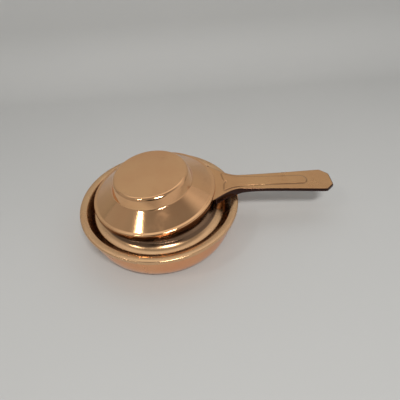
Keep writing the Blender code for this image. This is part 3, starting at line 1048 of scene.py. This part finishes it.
@dataclass
class Handle:
    """The pressed handle: a fan at the cover, a waist, a wide clipped tip and a raised panel."""

    snuffer: Snuffer
    sheet: float = 1.0 * MM
    reach: float = 98.0 * MM
    droop: float = math.radians(8.6)
    below_ledge: float = 0.75 * MM
    tongue_length: float = 5.2 * MM
    tongue_inset: float = 2.0 * MM
    fan_clearance: float = 1.2 * MM
    notch_clearance: float = 0.4 * MM
    notch_below_ledge: float = 0.1 * MM
    notch_depth: float = 5.4 * MM
    fan_half_width: float = 22.4 * MM
    fan_length: float = 21.0 * MM
    fan_curve: float = 2.1
    waist_half_width: float = 9.2 * MM
    waist_curve: float = 1.3
    tip_swell: float = 1.08
    tip_half_width: float = 12.6 * MM
    tip_widest: float = 84.0 * MM
    tip_chamfer: float = 7.0 * MM
    end_half_width: float = 6.4 * MM
    edge_corner: float = 1.3 * MM
    root_flange: float = 5.6 * MM
    tip_flange: float = 2.6 * MM
    flange_fade: float = 9.0 * MM
    rim_overhang: float = 4.5 * MM
    gap: float = 0.3 * MM
    panel_start: float = 7.4 * MM
    panel_end: float = 76.5 * MM
    panel_half_width: float = 4.8 * MM
    horn_half_width: float = 5.4 * MM
    horn_length: float = 9.0 * MM
    cusp: float = 2.0 * MM
    cusp_half_width: float = 1.6 * MM
    panel_rise: float = 0.6 * MM
    panel_edge: float = 0.7 * MM
    groove_width: float = 0.5 * MM
    # amount of painted shade along the foot of the panel's edge
    groove_painted_shade: float = 0.55
    columns: int = 64
    row_step: float = 0.55 * MM
    finish: Copper = Copper(
        "handle_copper",
        (0.88, 0.50, 0.235),
        (0.80, 0.43, 0.20),
        (0.16, 0.065, 0.035),
        grain=Grain.LONG,
        roughness=0.15,
        wave_height=0.02 * MM,
        dark_attribute="shade",
    )

    def notch(self) -> tuple[Vector, Vector]:
        """Return the corners of the box that opens the lip for the tongue."""
        half = self.fan_half_width - self.tongue_inset + self.notch_clearance
        lip = self.snuffer.lip_radius
        inner = math.sqrt(lip ** 2 - half ** 2) - self.notch_depth
        top = self.snuffer.lip_height - self.snuffer.sheet - self.notch_below_ledge
        low = Vector((inner, -half, -self.snuffer.lip_height))
        return low, Vector((lip + self.snuffer.ledge_width, half, top))

    def top(self, x: float) -> float:
        """Return the height of the plate at a distance from the cover's axis."""
        under = self.snuffer.lip_height - self.snuffer.sheet - self.below_ledge
        return under - math.tan(self.droop) * (x - self.snuffer.lip_radius + self.snuffer.ledge_width)

    def half_width(self, station: float) -> float:
        """Return the half width of the handle at a station, measured out from the lip."""
        along = max(0.0, (station - self.fan_length) / (self.tip_widest - self.fan_length))
        grow = min(along ** self.waist_curve, self.tip_swell)
        width = self.waist_half_width + (self.tip_half_width - self.waist_half_width) * grow
        flare = max(0.0, 1.0 - max(station, 0.0) / self.fan_length) ** self.fan_curve
        width += (self.fan_half_width - self.waist_half_width) * flare
        shoulder = self.tip_widest + self.tip_chamfer
        if station > shoulder:
            share = (station - shoulder) / (self.reach - shoulder)
            width += (self.end_half_width - width) * share
        return width

    def flange(self, station: float) -> float:
        """Return the depth of the turned-down edge; it stands on the rim where it crosses it."""
        rim_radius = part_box("burner_pan")[1][0]
        seat_x = rim_radius - self.rim_overhang / 2 - self.snuffer.shift[0]
        seat = seat_x - self.snuffer.lip_radius
        settle = self.snuffer.matrix.translation.z
        lean = math.tan(self.snuffer.handle_side_up)
        on_rim = settle + lean * seat_x + self.top(seat_x) - self.snuffer.rim_height - 2 * self.gap
        if station < seat:
            return self.root_flange + (on_rim - self.root_flange) * max(station, 0.0) / seat
        return self.tip_flange + (on_rim - self.tip_flange) * math.exp((seat - station) / self.flange_fade)

    def panel(self, x: float, y: float) -> float:
        """Return the height of the raised panel at a place on the plate."""
        share = min(1.0, max(0.0, self.inside_panel(x, y) / self.panel_edge + 0.5))
        return self.panel_rise * share * share * (3.0 - 2.0 * share)

    def groove(self, x: float, y: float) -> float:
        """Return how much painted shade darkens the foot of the panel's edge at a place."""
        away = (self.inside_panel(x, y) + self.panel_edge / 2) / self.groove_width
        return self.groove_painted_shade * math.exp(-away * away)

    def inside_panel(self, x: float, y: float) -> float:
        """Return how far inside the panel's outline a place lies."""
        station = x - self.snuffer.lip_radius
        half = self.panel_half_width + self.horn_half_width * math.exp(
            -max(0.0, station - self.panel_start) / self.horn_length
        )
        cap = self.panel_end - self.panel_half_width
        side = half - abs(y)
        if station > cap:
            side = self.panel_half_width - math.hypot(station - cap, y)
        start = self.panel_start + self.cusp * math.exp(-abs(y) / self.cusp_half_width)
        start -= 0.10 * abs(y)
        return min(side, station - start)

    def stations(self) -> list[float]:
        """Return the stations of the rows, evenly spaced from the fan to the tip."""
        count = math.ceil((self.reach - self.fan_clearance) / self.row_step)
        return [
            self.fan_clearance + (self.reach - self.fan_clearance) * step / count
            for step in range(count + 1)
        ]

    def row(self, station: float, half_width: float) -> list[Vector]:
        """Return one row of the plate, from one side to the other."""
        radius = self.snuffer.lip_radius + station
        curve = max(0.0, 1.0 - max(station, 0.0) / self.fan_length)
        row = []
        for column in range(self.columns + 1):
            y = half_width * (2.0 * column / self.columns - 1.0)
            sag = radius - math.sqrt(radius * radius - y * y)
            x = radius - sag * curve
            row.append(Vector((x, y, self.top(x) + self.panel(x, y))))
        return row

    def build(self) -> None:
        """Build the plate, roll its edge down round the outline, and give it its thickness."""
        build = bmesh.new()
        shade = build.verts.layers.float.new("shade")
        stations = self.stations()
        inset = self.edge_corner
        narrow = self.fan_half_width - self.tongue_inset
        rows = [
            self.row(-self.tongue_length, narrow),
            self.row(-self.tongue_length / 2, narrow),
            self.row(0.5 * self.fan_clearance, narrow),
        ]
        flanged = len(rows)
        for station in stations:
            inner = min(station, self.reach - inset)
            rows.append(self.row(inner, self.half_width(station) - inset))
        plate = [[build.verts.new(point) for point in row] for row in rows]
        # painted shade along the foot of the raised panel's edge
        for vert in (vert for row in plate for vert in row):
            vert[shade] = self.groove(vert.co.x, vert.co.y)
        for near, far in zip(plate, plate[1:]):
            for left in range(self.columns):
                build.faces.new((near[left], far[left], far[left + 1], near[left + 1]))

        edge = [row[0] for row in plate[flanged:]] + plate[-1][1:]
        edge += [row[-1] for row in reversed(plate[flanged:-1])]
        depths = [self.flange(station) for station in stations]
        drops = depths + [depths[-1]] * (self.columns - 1) + depths[::-1]
        self.roll_edge(build, shade, edge, drops)
        bmesh.ops.remove_doubles(build, verts=build.verts, dist=MERGE_DISTANCE)
        mesh = bpy.data.meshes.new("handle_skin")
        build.to_mesh(mesh)
        build.free()
        mesh.shade_smooth()
        mesh = self.with_thickness(mesh)
        mesh.transform(self.snuffer.matrix)
        finish = self.finish.material(self.snuffer.matrix)
        make_piece("handle_skin", mesh, finish, "snuffer", "handle")

    def roll_edge(
        self,
        build: bmesh.types.BMesh,
        shade: bmesh.types.BMLayerItem,
        edge: list[bmesh.types.BMVert],
        drops: list[float],
    ) -> None:
        """Add the rounded bend and the turned-down wall along the edge of the plate.

        Args:
            build: the mesh under construction.
            shade: the layer that says how dark a place is.
            edge: the plate's outer vertices in order, from one side of the root to the other.
            drops: the depth of the wall at each of them.
        """
        places = np.array([vert.co for vert in edge])
        ahead = np.gradient(places[:, :2], axis=0)
        kernel = np.ones(SMOOTHING) / SMOOTHING
        padded = np.pad(ahead, ((SMOOTHING // 2, SMOOTHING // 2), (0, 0)), mode="edge")
        ahead = np.stack([np.convolve(padded[:, axis], kernel, mode="valid") for axis in (0, 1)], axis=1)
        ahead /= np.linalg.norm(ahead, axis=1)[:, None]
        outward = np.stack([ahead[:, 1], -ahead[:, 0]], axis=1)
        before = edge
        for ring in range(1, BEND_RINGS + WALL_RINGS + 1):
            turn = min(1.0, ring / BEND_RINGS) * math.pi / 2
            after = []
            for place, side, drop in zip(places, outward, drops):
                out = self.edge_corner * math.sin(turn)
                down = self.edge_corner * (1.0 - math.cos(turn))
                if ring > BEND_RINGS:
                    down += (drop - self.edge_corner) * (ring - BEND_RINGS) / WALL_RINGS
                vert = build.verts.new((place[0] + side[0] * out, place[1] + side[1] * out, place[2] - down))
                # darkens the bend and the turned-down edge, fully from ring DARK_FROM on
                vert[shade] = min(1.0, ring / DARK_FROM)
                after.append(vert)
            for index in range(len(edge) - 1):
                build.faces.new((before[index], after[index], after[index + 1], before[index + 1]))
            before = after

    def with_thickness(self, mesh: bpy.types.Mesh) -> bpy.types.Mesh:
        """Return the open surface as a sheet with softened edges."""
        body = bpy.data.objects.new("handle_blank", mesh)
        bpy.context.scene.collection.objects.link(body)
        sheet = body.modifiers.new("sheet", "SOLIDIFY")
        sheet.thickness = self.sheet
        sheet.offset = -1.0
        sheet.use_even_offset = False
        soften = body.modifiers.new("edges", "BEVEL")
        soften.width = 0.2 * MM
        soften.segments = 2
        soften.limit_method = "ANGLE"
        soften.angle_limit = SHARP_ANGLE
        graph = bpy.context.evaluated_depsgraph_get()
        result = bpy.data.meshes.new_from_object(body.evaluated_get(graph))
        bpy.data.objects.remove(body, do_unlink=True)
        result.shade_smooth()
        return result


# ---------------------------------------------------------------- studio


@dataclass(frozen=True)
class Lamp:
    """An area lamp that faces the object; its level is what it adds to the floor's light."""

    name: str
    direction: tuple[float, float, float]
    distance: float
    size: tuple[float, float]
    level: float
    colour: Colour = (1.0, 1.0, 1.0)


@dataclass
class Studio:
    """Pale sweep, soft lamps, world and the camera."""

    paper: Paper = Paper()
    lamps: tuple[Lamp, ...] = (
        Lamp("left_panel", (-0.50, -0.28, 0.82), 1.2, (0.062, 0.16), 0.05, (1.0, 0.97, 0.92)),
        Lamp("front_panel", (0.12, -0.56, 0.82), 1.2, (0.30, 0.12), 0.45, (1.0, 0.98, 0.95)),
    )
    ceiling: Colour = (0.24, 0.235, 0.235)
    back_ceiling: Colour = (0.80, 0.80, 0.80)
    left_wall: Colour = (0.35, 0.345, 0.34)
    right_wall: Colour = (0.55, 0.55, 0.55)
    dark: Colour = (0.03, 0.028, 0.028)
    patch: tuple[float, float, float] = (0.08, -0.84, 0.54)
    patch_edge: Point = (0.86, 0.955)
    ceiling_edge: Point = (0.66, 0.86)
    behind_edge: Point = (-0.05, 0.30)
    right_edge: Point = (-0.1, 0.5)
    right_lean: float = 0.5
    wall_y: float = 0.30
    cove: float = 0.07
    half_width: float = 1.6
    near_y: float = -1.4
    wall_height: float = 0.45
    camera_place: tuple[float, float, float] = (23.4 * MM, -244.3 * MM, 254.5 * MM)
    camera_turn: tuple[float, float, float] = (46.88, 2.31, -4.56)
    lens: float = 36.0

    def build(self) -> None:
        """Build the sweep, the lamps, the world and the camera."""
        self.build_sweep()
        self.build_lamps()
        self.build_world()
        self.build_camera()
        bpy.context.scene.view_settings.view_transform = "Standard"

    def build_sweep(self) -> None:
        """Build the floor that curves up into the wall behind."""
        path = [(self.near_y, 0.0)]
        steps = 12
        for step in range(steps + 1):
            angle = math.pi / 2 * step / steps
            path.append((
                self.wall_y - self.cove + self.cove * math.sin(angle),
                self.cove - self.cove * math.cos(angle),
            ))
        path.append((self.wall_y, self.wall_height))
        mesh = bpy.data.meshes.new("studio_sweep")
        vertices = [(side * self.half_width, y, z) for y, z in path for side in (-1.0, 1.0)]
        faces = [(2 * i, 2 * i + 1, 2 * i + 3, 2 * i + 2) for i in range(len(path) - 1)]
        mesh.from_pydata(vertices, [], faces)
        mesh.materials.append(self.paper.material())
        mesh.shade_smooth()
        sweep = bpy.data.objects.new("studio_sweep", mesh)
        bpy.context.scene.collection.objects.link(sweep)

    def build_lamps(self) -> None:
        """Build the lamps, each facing the origin from its own direction."""
        for lamp in self.lamps:
            light = bpy.data.lights.new(lamp.name, "AREA")
            light.shape = "RECTANGLE"
            light.size, light.size_y = lamp.size
            light.color = lamp.colour
            place = Vector(lamp.direction).normalized() * lamp.distance
            light.energy = lamp.level * (math.pi * lamp.distance) ** 2 / place.normalized().z
            holder = bpy.data.objects.new(lamp.name, light)
            holder.location = place
            holder.rotation_euler = place.to_track_quat("Z", "Y").to_euler()
            bpy.context.scene.collection.objects.link(holder)

    def build_world(self) -> None:
        """Build the world: grey walls, a dimmer ceiling and a dark patch in front, up high."""
        graph = Graph("studio_world", world=True)
        direction = graph.node("ShaderNodeTexCoord", output="Generated")
        x, y, z = graph.split(direction)
        facing = x * self.patch[0] + y * self.patch[1] + z * self.patch[2]
        ceiling = z.ramp(*self.ceiling_edge)
        behind = y.ramp(*self.behind_edge)
        right = (x - z * self.right_lean).ramp(*self.right_edge)
        walls = graph.mix(right, self.left_wall, self.right_wall)
        above = graph.mix(behind, self.ceiling, self.back_ceiling)
        room = graph.mix(ceiling, walls, above)
        graph.set(Color=graph.mix(facing.ramp(*self.patch_edge), room, self.dark))
        graph.set(Strength=1.0)
        bpy.context.scene.world = graph.material

    def build_camera(self) -> None:
        """Place the camera above the front, rolled a little, with the bowl left of the middle."""
        data = bpy.data.cameras.new("camera")
        data.sensor_width = self.lens
        data.lens = self.lens
        camera = bpy.data.objects.new("camera", data)
        camera.location = self.camera_place
        camera.rotation_euler = [math.radians(turn) for turn in self.camera_turn]
        bpy.context.scene.collection.objects.link(camera)
        bpy.context.scene.camera = camera


def main() -> None:
    """Build the pieces round the frame, then the studio."""
    logging.basicConfig(level=logging.INFO, format="%(name)s: %(message)s")
    low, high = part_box("burner_pan")
    rim_radius = high[0]
    burner_reference = Burner(rim_radius, 0.0)
    neck = burner_reference.neck_foot + burner_reference.neck_height
    rim_height = high[2] - neck
    Bowl(rim_radius, rim_height).build()
    burner = Burner(rim_radius, rim_height)
    burner.build()
    mouth = rim_radius - burner.band_width - burner.step_width
    Snuffer(mouth, rim_height).build()
    Studio().build()


if __name__ == "__main__":
    main()
